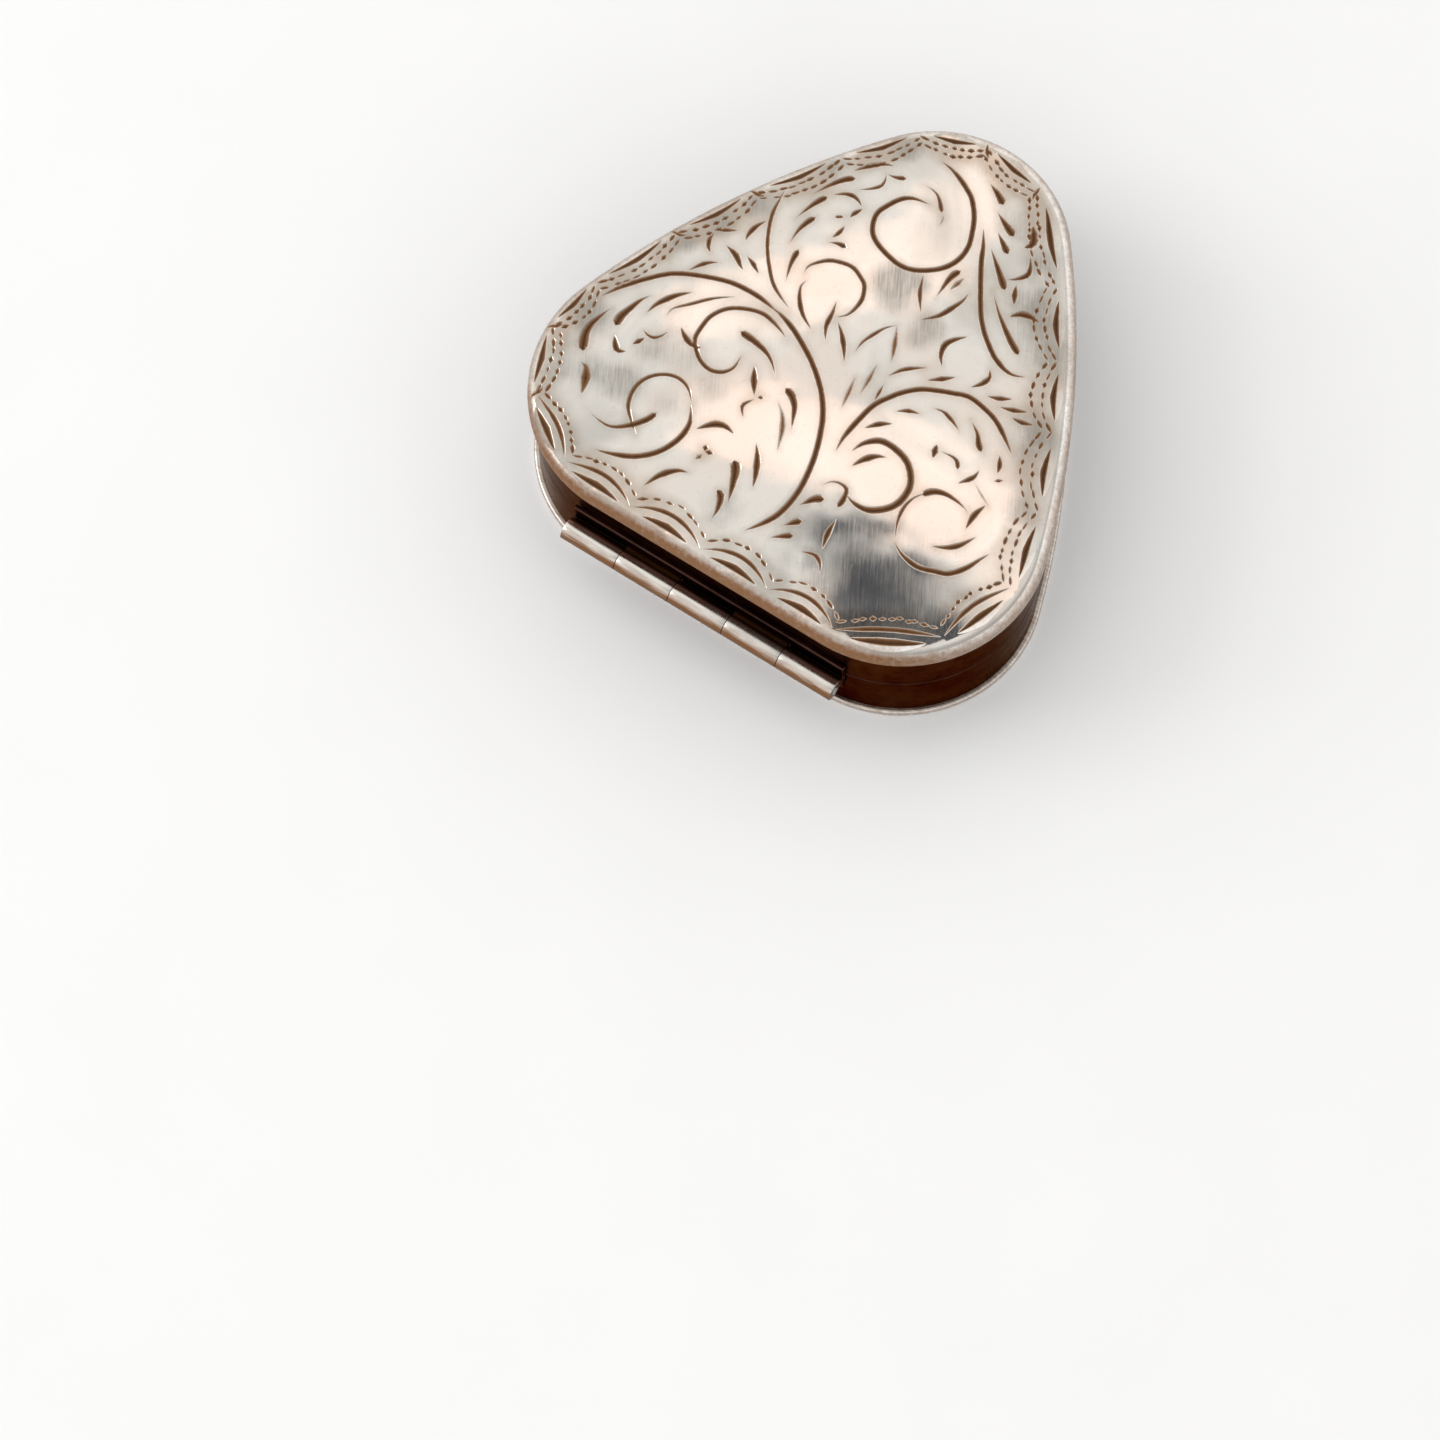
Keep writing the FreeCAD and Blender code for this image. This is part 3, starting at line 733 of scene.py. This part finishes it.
def engraved_lid(material):
    """The pressed lid: engraved top, rounded shoulder, short rim and plain underside."""
    wedges, arches = border()
    foliage = [fitted(stroke) for stroke in FOLIAGE]
    # The border wedges carry painted shade on their steep facets
    cuts = [Cut(s, BRIGHT_CUT_SHADED_SECTION) for s in wedges]
    cuts += [Cut(s, PLAIN_SECTION) for s in arches + foliage]
    inner = shoulder_rings(0, SHOULDER_CUT)
    edge = ring(inner[-1][0])
    fill = hex_fill(FILL_PITCH, SHOULDER_R + FILL_PITCH / 2)
    loose = np.concatenate([*(ring(inset) for inset, _ in inner[:-1]), fill])
    lip = cut_field(cuts, loose, LIP_SEARCH)[3]
    loose = loose[lip > LIP_ROOM]
    tracks = [t for cut in cuts for t in cut.tracks()]
    places, faces = triangulate(edge, tracks, loose)
    depth, oxide, crowd, _ = cut_field(cuts, places, 3 * CROWD_REACH)
    shell = Shell()
    top = with_height(places, lid_height(places) - depth)
    # Painted brown and grey shade where the top turns down, added to the oxide in the cuts and the smudges
    turned = edge_shade(places, inset_of(places))
    smudge = np.maximum(smudge_field(places), RIM_GREY_SHADE * turned / RIM_SHADE)
    shell.add(top, oxide=np.maximum(oxide, turned), tarnish=crowd, smudge=np.minimum(smudge, 1))
    shell.faces += faces
    rings = [0]
    # The lower shoulder is painted brown and grey as shade, more the further it turns down
    for inset, drop in shoulder_rings(SHOULDER_CUT, math.pi / 2)[1:]:
        rings.append(shell.add(
            with_height(ring(inset), RIM_TOP - drop),
            oxide=edge_shade(ring(inset), inset), tarnish=drop / SHOULDER_R, smudge=RIM_GREY_SHADE,
        ))
    floor_turns = np.linspace(0, math.pi / 2, ROUND_STEPS - 1)
    rim = [(RIM_EDGE_R * (1 - math.cos(t)), RIM_Z + RIM_EDGE_R * (1 - math.sin(t))) for t in floor_turns]
    rim += [(SHEET_T - EDGE_BREAK, RIM_Z), (SHEET_T, RIM_Z + EDGE_BREAK)]
    # The rim is painted fully brown and grey as shade
    for inset, z in rim:
        rings.append(shell.add(
            with_height(ring(inset), z), oxide=edge_shade(ring(inset), 0), tarnish=1.0, smudge=RIM_GREY_SHADE,
        ))
    places, faces = plain_sheet(SHEET_T)
    start = shell.add(with_height(places, RIM_TOP - SHEET_T + crown_rise(places)))
    shell.bridge([start] + rings[::-1])
    shell.faces += [tuple(start + i for i in f[::-1]) for f in faces]
    plate = shell.build("lid_engraved_plate", LIP_ANGLE)
    finish_piece(plate, "lid", "engraved_silver", material, "lid_plate")


# --- Walls, base and bezel ---

def swept_band(name, section):
    """Closed band round the outline, from a closed section of insets and heights."""
    shell = Shell()
    middle = np.mean([inset for inset, _ in section])
    # The outer face is marked, which the wall material paints dark brown as shade; the inner face is not
    rings = [shell.add(with_height(ring(inset), z), tarnish=inset < middle) for inset, z in section]
    shell.bridge(rings + rings[:1])
    return shell.build(name)


def strip_section(inset, thickness, low, high, top_lead):
    """Section of an upright strip with broken edges: up its outside and down its inside."""
    e = EDGE_BREAK
    side = [(e, low), (0, low + e)]
    side += [(0, low + (high - low) * k / 4) for k in (1, 2, 3)]
    side += [(0, high - top_lead), (top_lead, high)]
    outside = [(inset + x, z) for x, z in side]
    return outside + [(inset + thickness - x, z) for x, z in reversed(side)]


def flat_cap(shell, start, inset, height, up):
    """Closes a ring with a triangulated flat sheet."""
    places, faces = plain_sheet(inset)
    extra = shell.add(with_height(places[OUTLINE_STEPS:], height))
    numbers = [*range(start, start + OUTLINE_STEPS), *range(extra, len(shell.points))]
    for face in faces:
        shell.faces.append(tuple(numbers[i] for i in (face if up else face[::-1])))


def inset_from(low, high):
    """How far inside the outline a piece with the given corners begins."""
    return (WIDTH - (high.x - low.x)) / 2


def base_sheet(material):
    """The flat bottom, whose rounded edge stands proud of the wall as a flange."""
    low, high = box_mm("base_plate")
    inset = inset_from(low, high)
    r = FLANGE_EDGE_R
    turns = np.linspace(-math.pi / 2, 0, ROUND_STEPS)
    section = [(inset + r * (1 - math.cos(t)), low.z + r * (1 + math.sin(t))) for t in turns]
    section += [(i, low.z + high.z - z) for i, z in reversed(section)]
    shell = Shell()
    rings = [shell.add(with_height(ring(i), z), oxide=FLANGE_BROWN) for i, z in section]
    shell.bridge(rings)
    flat_cap(shell, rings[0], section[0][0], low.z, up=False)
    flat_cap(shell, rings[-1], section[-1][0], high.z, up=True)
    finish_piece(shell.build("base_flanged_plate"), "base", "polished_silver", material, "base_plate")


def upright(name, body, slot, material, node, thickness, top_lead=EDGE_BREAK):
    """A wall, or the bezel that the lid closes over."""
    low, high = box_mm(node)
    section = strip_section(inset_from(low, high), thickness, low.z, high.z, top_lead)
    finish_piece(swept_band(name, section), body, slot, material, node)


# --- Hinge ---

def knuckle_reach(turn, web_low, web_high, radius, leaf_y):
    """Distance from the axis to the knuckle's outside, at an angle from +Y towards +Z."""
    reach = radius
    rise, run = math.sin(turn), math.cos(turn)
    if run > 0:
        to_leaf = leaf_y / run
        height = to_leaf * rise
        if web_low <= height <= web_high:
            return max(reach, to_leaf)
        side = web_low if height < web_low else web_high
        if abs(rise) > 1e-6 and side / rise > 0:
            reach = max(reach, min(side / rise, to_leaf))
    return reach


def slices(low, high, edge, parts):
    """Places along a piece and its shrinking there: its broken edge at both ends, plain between."""
    middle = [(low + (high - low) * k / parts, 0) for k in range(1, parts)]
    return [(low + x, s) for x, s in edge] + middle + [(high - x, s) for x, s in reversed(edge)]


def round_axis(x, radii, turns):
    """Points round the hinge axis, at angles from +Y towards +Z."""
    return [(x, AXIS.y + r * math.cos(t), AXIS.z + r * math.sin(t)) for r, t in zip(radii, turns)]


def barrel_shade(turn):
    """Painted shade on a knuckle, deep against the walls, with a painted brown reflection on its lower
    outside.
    """
    least, growth = WALL_SIDE_SHADE
    outside = BARREL_LOW_REFLECTION * math.cos(turn - BARREL_REFLECTION_TURN)
    return min(1.0, max(0.0, least + growth * math.cos(turn), outside))


def knuckle(name, body, node, material):
    """A short rolled tube on the hinge axis with broken end edges and a web to its leaf."""
    low, high = box_mm(node)
    bore = PIN_R + BORE_PLAY[body]
    leaf_y = high.y - AXIS.y
    web_low = (WALL_GAP_LOW - WEB_H if body == "base" else WALL_GAP_HIGH) - AXIS.z
    web_high = web_low + WEB_H
    corners = [math.atan2(z, leaf_y) for z in (web_low, web_high)]
    turns = sorted(list(np.linspace(-math.pi, math.pi, KNUCKLE_TURNS, endpoint=False)) + corners)
    outer = [knuckle_reach(t, web_low, web_high, AXIS.y - low.y, leaf_y) for t in turns]
    # Painted shade towards the wall and a painted brown reflection below, kept with the bore's oxide
    knuckle_shade = [barrel_shade(t) for t in turns]
    e = KNUCKLE_BREAK
    middle = e * BREAK_MIDDLE
    shell = Shell()
    rings = []
    for x, inset in slices(low.x, high.x, [(0, e), (middle, middle), (e, 0)], KNUCKLE_PARTS):
        rings.append(shell.add(round_axis(x, [r - inset for r in outer], turns), oxide=knuckle_shade))
    for x, widen in reversed(slices(low.x, high.x, [(0, e / 2), (e / 2, 0)], 1)):
        rings.append(shell.add(round_axis(x, [bore + widen] * len(turns), turns), oxide=BORE_OXIDE))
    shell.bridge(rings[:1] + rings[::-1], len(turns))
    finish_piece(shell.build(name), body, "hinge_silver", material, node)


def leaf(name, body, node, material):
    """The strip soldered to the wall that carries the knuckles, with rounded outer edges."""
    low, high = box_mm(node)
    turns = np.linspace(0, math.pi / 2, ROUND_STEPS)
    profile = [(high.y, low.z)]
    profile += [
        (low.y + LEAF_EDGE_R * (1 - math.sin(t)), low.z + LEAF_EDGE_R * (1 - math.cos(t))) for t in turns
    ]
    profile += [(y, low.z + high.z - z) for y, z in reversed(profile)]
    middle = (low + high) / 2
    shell = Shell()
    rings = []
    # The whole leaf is marked for the painted dark shade of the walls
    for x, inset in slices(low.x, high.x, [(0, EDGE_BREAK), (EDGE_BREAK, 0)], LEAF_PARTS):
        rings.append(shell.add([
            (x, y + inset * np.sign(middle.y - y), z + inset * np.sign(middle.z - z)) for y, z in profile
        ], tarnish=1.0))
    count = len(profile)
    shell.bridge(rings, count)
    shell.faces.append(tuple(rings[0] + i for i in range(count)))
    shell.faces.append(tuple(rings[-1] + i for i in reversed(range(count))))
    finish_piece(shell.build(name), body, "hinge_silver", material, node)


def hinge_pin(material):
    """The pin, whose ends are hammered into low domes."""
    turns = np.linspace(0, 2 * math.pi, PIN_TURNS, endpoint=False)
    bends = np.linspace(0, math.pi / 2, ROUND_STEPS)[:-1]
    edge = [(PIN_DOME * (1 - math.sin(b)), PIN_R * (1 - math.cos(b))) for b in reversed(bends)]
    shell = Shell()
    rings = [
        shell.add(round_axis(x, [PIN_R - inset] * PIN_TURNS, turns))
        for x, inset in slices(PIN_LOW.x, PIN_HIGH.x, edge, 1)
    ]
    shell.bridge(rings[::-1], PIN_TURNS)
    for start, x, up in ((rings[0], PIN_LOW.x, True), (rings[-1], PIN_HIGH.x, False)):
        tip = shell.add([(x, AXIS.y, AXIS.z)])
        for i in range(PIN_TURNS):
            face = (start + i, start + (i + 1) % PIN_TURNS, tip)
            shell.faces.append(face[::-1] if up else face)
    finish_piece(shell.build("hinge_pin_rod"), "base", "pin_metal", material, "hinge_pin")


# --- Materials ---

class Nodes:
    """Adds and links the shader nodes of a material or a world."""

    def __init__(self, owner, shader="Principled BSDF"):
        owner.use_nodes = True
        self.owner = owner
        self.tree = owner.node_tree
        self.shader = self.tree.nodes[shader]

    def node(self, kind, **settings):
        """Adds a node and sets its inputs, or its properties where no input has that name."""
        made = self.tree.nodes.new(kind)
        for key, value in settings.items():
            if key in made.inputs:
                self.feed(made.inputs[key], value)
            else:
                setattr(made, key, value)
        return made

    def feed(self, socket, value):
        """Links a socket or sets it to a constant."""
        if isinstance(value, bpy.types.NodeSocket):
            self.tree.links.new(value, socket)
        else:
            socket.default_value = value

    def surface(self, name, value):
        """Feeds one of the surface shader's own sockets."""
        self.feed(self.shader.inputs[name], value)

    def stored(self, name):
        """A value that the mesh carries at its vertices."""
        return self.node("ShaderNodeAttribute", attribute_name=name).outputs["Fac"]

    def grain(self, lengths, turn=0.0):
        """Object coordinates counted in grains of three lengths, in metres, turned about Z."""
        place = self.node("ShaderNodeTexCoord").outputs["Object"]
        made = self.node("ShaderNodeMapping", vector_type="TEXTURE", Vector=place)
        made.inputs["Scale"].default_value = lengths
        made.inputs["Rotation"].default_value = (0, 0, turn)
        return made.outputs["Vector"]

    def noise(self, scale, detail, vector=None, rough=0.5, distortion=0.0):
        """Noise over object coordinates, or over a vector."""
        if vector is None:
            vector = self.node("ShaderNodeTexCoord").outputs["Object"]
        made = self.node(
            "ShaderNodeTexNoise",
            Vector=vector, Scale=scale, Detail=detail, Roughness=rough, Distortion=distortion,
        )
        return made.outputs["Fac"]

    def between(self, value, low, high, to_low=0.0, to_high=1.0):
        """Value carried from one range to another and held inside it."""
        ends = {"From Min": low, "From Max": high, "To Min": to_low, "To Max": to_high}
        return self.node("ShaderNodeMapRange", Value=value, **ends).outputs["Result"]

    def math(self, operation, a, b):
        """Arithmetic on two values."""
        made = self.node("ShaderNodeMath", operation=operation)
        self.feed(made.inputs[0], a)
        self.feed(made.inputs[1], b)
        return made.outputs[0]

    def mix(self, share, a, b):
        """Mix of two colours."""
        made = self.node("ShaderNodeMix", data_type="RGBA")
        self.feed(made.inputs[0], share)
        self.feed(made.inputs[6], a)
        self.feed(made.inputs[7], b)
        return made.outputs[2]

    def brown_with_oxide_and_shade(self, base, amount):
        """Colour that turns brown and then nearly black with oxide and with painted shade, and the share
        that is brown.
        """
        brown = self.between(amount, 0.03, 0.36)
        black = self.between(amount, 0.4, 0.95)
        return self.mix(black, self.mix(brown, base, BROWN_OXIDE_AND_SHADE), DARK_OXIDE_AND_SHADE), brown

    def bump(self, height, distance, normal=None):
        """Bump from a height, with the distance in metres."""
        made = self.node("ShaderNodeBump", Height=height, Distance=distance, Strength=1.0)
        if normal is not None:
            self.feed(made.inputs["Normal"], normal)
        return made.outputs["Normal"]


SILVER = (0.93, 0.905, 0.86, 1)
WARM_SILVER = (0.93, 0.85, 0.785, 1)
GREY_TARNISH_AND_SHADE = (0.34, 0.335, 0.31, 1)
BROWN_TARNISH_AND_SHADE = (0.44, 0.34, 0.25, 1)
# Oxide colours, also used as painted shade on the rim, the wedges' steep facets and the knuckles
BROWN_OXIDE_AND_SHADE = (0.235, 0.115, 0.052, 1)
DARK_OXIDE_AND_SHADE = (0.072, 0.030, 0.010, 1)
# Painted shade of the walls and leaves: two dark browns, and a dim tint for their grazing reflections
BROWN_WALL_SHADE = (0.074, 0.035, 0.027, 1)
DARK_WALL_SHADE = (0.027, 0.0135, 0.011, 1)
WALL_GRAZING_SHADE = (0.5, 0.4, 0.35, 1)
PALE_FLOOR = (0.93, 0.93, 0.93, 1)
WHITE_FLOOR = (0.96, 0.96, 0.96, 1)
CARD_GREY = (0.05, 0.055, 0.065, 1)


def engraved_silver():
    """Satin silver with fine polishing lines, brown oxide in the cuts, tarnish round them and painted shade
    where the lid turns down.
    """
    m = Nodes(bpy.data.materials.new("engraved_silver_wear_and_shade"))
    # The stored oxide also holds painted shade on the wedges' steep facets and on the turned-down rim
    oxide, crowd, smudge = m.stored("oxide"), m.stored("tarnish"), m.stored("smudge")
    cloud = m.noise(260, 4, rough=0.6)
    patch = m.noise(115, 3, rough=0.5, distortion=0.7)
    speck = m.noise(2600, 3, rough=0.7)
    lines = m.noise(1.0, 4, m.grain((0.00010, 0.0022, 0.002), math.radians(30)), 0.65)
    cross = m.noise(1.0, 3, m.grain((0.0016, 0.00014, 0.002), math.radians(12)), 0.6)
    hatch = m.between(lines, 0.35, 0.65, 0.55, 1.0)
    # Grey smears and brown tarnish, which on the shoulder and rim are painted shade
    smear_and_shade = m.math("MULTIPLY", m.between(m.math("MULTIPLY", smudge, cloud), 0.07, 0.38, 0, 0.85), hatch)
    near = m.between(m.math("MULTIPLY", crowd, cloud), 0.12, 0.45, 0.0, 0.65)
    worn = m.math("MAXIMUM", smear_and_shade, m.between(patch, 0.52, 0.72, 0.0, 0.4))
    base = m.mix(m.between(patch, 0.40, 0.54), WARM_SILVER, SILVER)
    base = m.mix(worn, m.mix(near, base, BROWN_TARNISH_AND_SHADE), GREY_TARNISH_AND_SHADE)
    base, dark = m.brown_with_oxide_and_shade(base, m.math("ADD", oxide, m.between(speck, 0.3, 0.7, -0.06, 0.06)))
    m.surface("Base Color", base)
    m.surface("Metallic", m.between(dark, 0, 1, 1.0, 0.2))
    gloss = m.math("ADD", m.between(cloud, 0.3, 0.7, 0.05, 0.09), m.between(lines, 0.3, 0.7, -0.02, 0.02))
    gloss = m.math("ADD", gloss, m.math("MULTIPLY", worn, 0.15))
    m.surface("Roughness", m.math("MAXIMUM", gloss, m.math("MULTIPLY", dark, 0.6)))
    normal = m.bump(m.noise(150, 2), 0.00005)
    normal = m.bump(m.math("ADD", lines, m.math("MULTIPLY", cross, 0.4)), 0.00000015, normal=normal)
    m.surface("Normal", normal)
    m.surface("Anisotropic", 0.2)
    m.surface("Specular IOR Level", 0.15)
    return m.owner


def wall_silver():
    """Polished silver painted dark brown as shade on its outer face, warm silver on its inner face."""
    m = Nodes(bpy.data.materials.new("wall_silver_painted_shade"))
    cloud = m.noise(140, 4, rough=0.6, distortion=0.5)
    fine = m.noise(1500, 3, rough=0.6)
    streak = m.noise(1.0, 3, m.grain((0.003, 0.003, 0.0002)), 0.55)
    share = m.between(m.math("ADD", cloud, m.math("MULTIPLY", fine, 0.25)), 0.5, 0.8)
    brown = m.mix(share, BROWN_WALL_SHADE, DARK_WALL_SHADE)
    # Painted dark shade where the mesh is marked, warm silver elsewhere
    m.surface("Base Color", m.mix(m.stored("tarnish"), WARM_SILVER, brown))
    m.surface("Metallic", 1.0)
    m.surface("Specular Tint", WALL_GRAZING_SHADE)
    m.surface("Roughness", m.between(streak, 0.3, 0.7, 0.2, 0.32))
    normal = m.bump(m.noise(220, 2), 0.0001, normal=m.bump(streak, 0.000001))
    m.surface("Normal", normal)
    return m.owner


def bright_silver(name, tint, rough_low, rough_high, dents=0.00005):
    """Rubbed bright silver with light scratches, thin tarnish and oxide in its recesses; on the knuckles
    the oxide value also holds painted shade and reflection.
    """
    m = Nodes(bpy.data.materials.new(name))
    oxide = m.stored("oxide")
    cloud = m.noise(300, 4, rough=0.6)
    scratch = m.noise(1.0, 4, m.grain((0.002, 0.00018, 0.00018)), 0.6)
    fine = m.noise(3000, 2, rough=0.6)
    worn = m.between(cloud, 0.5, 0.75, 0.0, 0.4)
    base = m.mix(worn, tint, GREY_TARNISH_AND_SHADE)
    base, dark = m.brown_with_oxide_and_shade(base, m.math("ADD", oxide, m.between(scratch, 0.3, 0.7, -0.07, 0.07)))
    m.surface("Base Color", base)
    m.surface("Metallic", 1.0)
    gloss = m.between(cloud, 0.3, 0.7, rough_low, rough_high)
    gloss = m.math("ADD", gloss, m.between(fine, 0.3, 0.7, -0.03, 0.05))
    m.surface("Roughness", m.math("MAXIMUM", gloss, m.math("MULTIPLY", dark, 0.4)))
    normal = m.bump(m.noise(400, 2), dents, normal=m.bump(scratch, 0.000001))
    m.surface("Normal", normal)
    return m.owner


# --- Set ---
# Places and sizes here are in metres.

FLOOR_HALF = 3.0
PANEL_HEIGHT = 0.5
PANEL_TINT = (1, 0.66, 0.50)
FILL_PLACE = Vector((-0.5, -0.25, 0.3))
CARD_HEIGHT = 0.49  # just below the panels, which it partly hides
OVERHEAD_SKY = (0.83, 0.81, 0.78, 1)
RIGHT_SKY = (0.42, 0.43, 0.43, 1)
LOW_SKY = (1.12, 1.12, 1.12, 1)
CAMERA_PLACE = (0.09097, -0.14686, 0.37539)
CAMERA_TURN = (0.38237, 0.01008, 0.58502)
LENS_MM = 150
SENSOR_MM = 36


def flat_sheet(name, corners, height, material):
    """One flat face that belongs to the set and not to the box."""
    mesh = bpy.data.meshes.new(name)
    mesh.from_pydata([(x, y, height) for x, y in corners], [], [tuple(range(len(corners)))])
    mesh.materials.append(material)
    obj = placed(name, mesh)
    return obj


def floor():
    """A wide, pale and matt floor that the box rests on."""
    m = Nodes(bpy.data.materials.new("pale_floor"))
    m.surface("Base Color", m.mix(m.noise(90, 3), PALE_FLOOR, WHITE_FLOOR))
    m.surface("Roughness", 0.85)
    corners = [(FLOOR_HALF * x, FLOOR_HALF * y) for x, y in ((-1, -1), (1, -1), (1, 1), (-1, 1))]
    flat_sheet("floor", corners, CAD_BOX[0].z, m.owner)


def soft_light(name, place, turn, size, power, tint):
    """A rectangular area light with a given turn."""
    data = bpy.data.lights.new(name, "AREA")
    data.shape = "RECTANGLE"
    data.size, data.size_y = size
    data.energy = power
    data.color = tint
    obj = placed(name, data)
    obj.location = place
    obj.rotation_euler = turn


def surround():
    """A pale surround, dimmer straight overhead and to the right of that."""
    world = bpy.data.worlds.new("surround")
    n = Nodes(world, "Background")
    place = n.node("ShaderNodeTexCoord").outputs["Generated"]
    parts = n.node("ShaderNodeSeparateXYZ", Vector=place).outputs
    above = n.mix(n.between(parts["X"], -0.08, 0.35), OVERHEAD_SKY, RIGHT_SKY)
    n.surface("Color", n.mix(n.between(parts["Z"], 0.80, 0.65), above, LOW_SKY))
    bpy.context.scene.world = world


def lights():
    """Two warm panels overhead that show in the lid, and a soft fill from the left."""
    for name, x, y, turn, size, power in (
        ("panel_back", -0.165, 0.245, 43, (0.14, 0.06), 0.0093),
        ("panel_front", -0.085, 0.165, 17, (0.17, 0.055), 0.0105),
    ):
        soft_light(name, (x, y, PANEL_HEIGHT), (0, 0, math.radians(turn)), size, power, PANEL_TINT)
    aim = (-FILL_PLACE).to_track_quat("-Z", "Y").to_euler()
    soft_light("side_fill", FILL_PLACE, aim, (0.35, 0.35), 1.0, (0.97, 0.98, 1))
    surround()


def dark_card():
    """A small dark flag above the box, seen only as a reflection in the polished lid."""
    corners = (
        (-82, 122), (-67, 132), (-52, 140), (-40, 140), (-30, 132), (-24, 118), (-36, 97), (-54, 78),
        (-75, 58), (-87, 62), (-79, 86), (-84, 96), (-87, 109),
    )
    m = Nodes(bpy.data.materials.new("dark_card"))
    m.surface("Base Color", CARD_GREY)
    m.surface("Roughness", 0.9)
    card = flat_sheet("dark_card", [(x * MM, y * MM) for x, y in corners], CARD_HEIGHT, m.owner)
    card.visible_camera = False
    card.visible_diffuse = False


def camera():
    """The viewpoint: close to overhead, turned past the hinge's right end."""
    data = bpy.data.cameras.new("view")
    data.lens = LENS_MM
    data.sensor_width = SENSOR_MM
    obj = placed("view", data)
    obj.location = CAMERA_PLACE
    obj.rotation_euler = CAMERA_TURN
    bpy.context.scene.camera = obj


# --- Assembly ---

# The walls and hinge leaves take the painted dark shade
outer_wall = wall_silver()
hinge_metal = bright_silver("hinge_silver_rubbed", SILVER, 0.16, 0.3, 0.000012)
inside_metal = bright_silver("inner_silver_satin", WARM_SILVER, 0.3, 0.42)
pin_metal = bright_silver("pin_metal_drawn", GREY_TARNISH_AND_SHADE, 0.3, 0.4)
flange_metal = bright_silver("base_silver_rubbed", SILVER, 0.2, 0.34)

engraved_lid(engraved_silver())
upright("lid_wall_band", "lid", "polished_silver", outer_wall, "lid_wall", LID_WALL_T)
upright("base_wall_band", "base", "polished_silver", outer_wall, "base_wall", BASE_WALL_T)
upright("base_bezel_strip", "base", "inner_silver", inside_metal, "base_bezel", BEZEL_T, BEZEL_LEAD)
base_sheet(flange_metal)
leaf("lid_leaf_strip", "lid", "lid_leaf", outer_wall)
leaf("base_leaf_strip", "base", "base_leaf", outer_wall)
for number in (1, 2, 3):
    knuckle(f"base_knuckle_tube_{number}", "base", f"base_knuckle_{number}", hinge_metal)
for number in (1, 2):
    knuckle(f"lid_knuckle_tube_{number}", "lid", f"lid_knuckle_{number}", hinge_metal)
hinge_pin(pin_metal)

floor()
dark_card()
lights()
camera()
bpy.context.scene.view_settings.view_transform = "Standard"
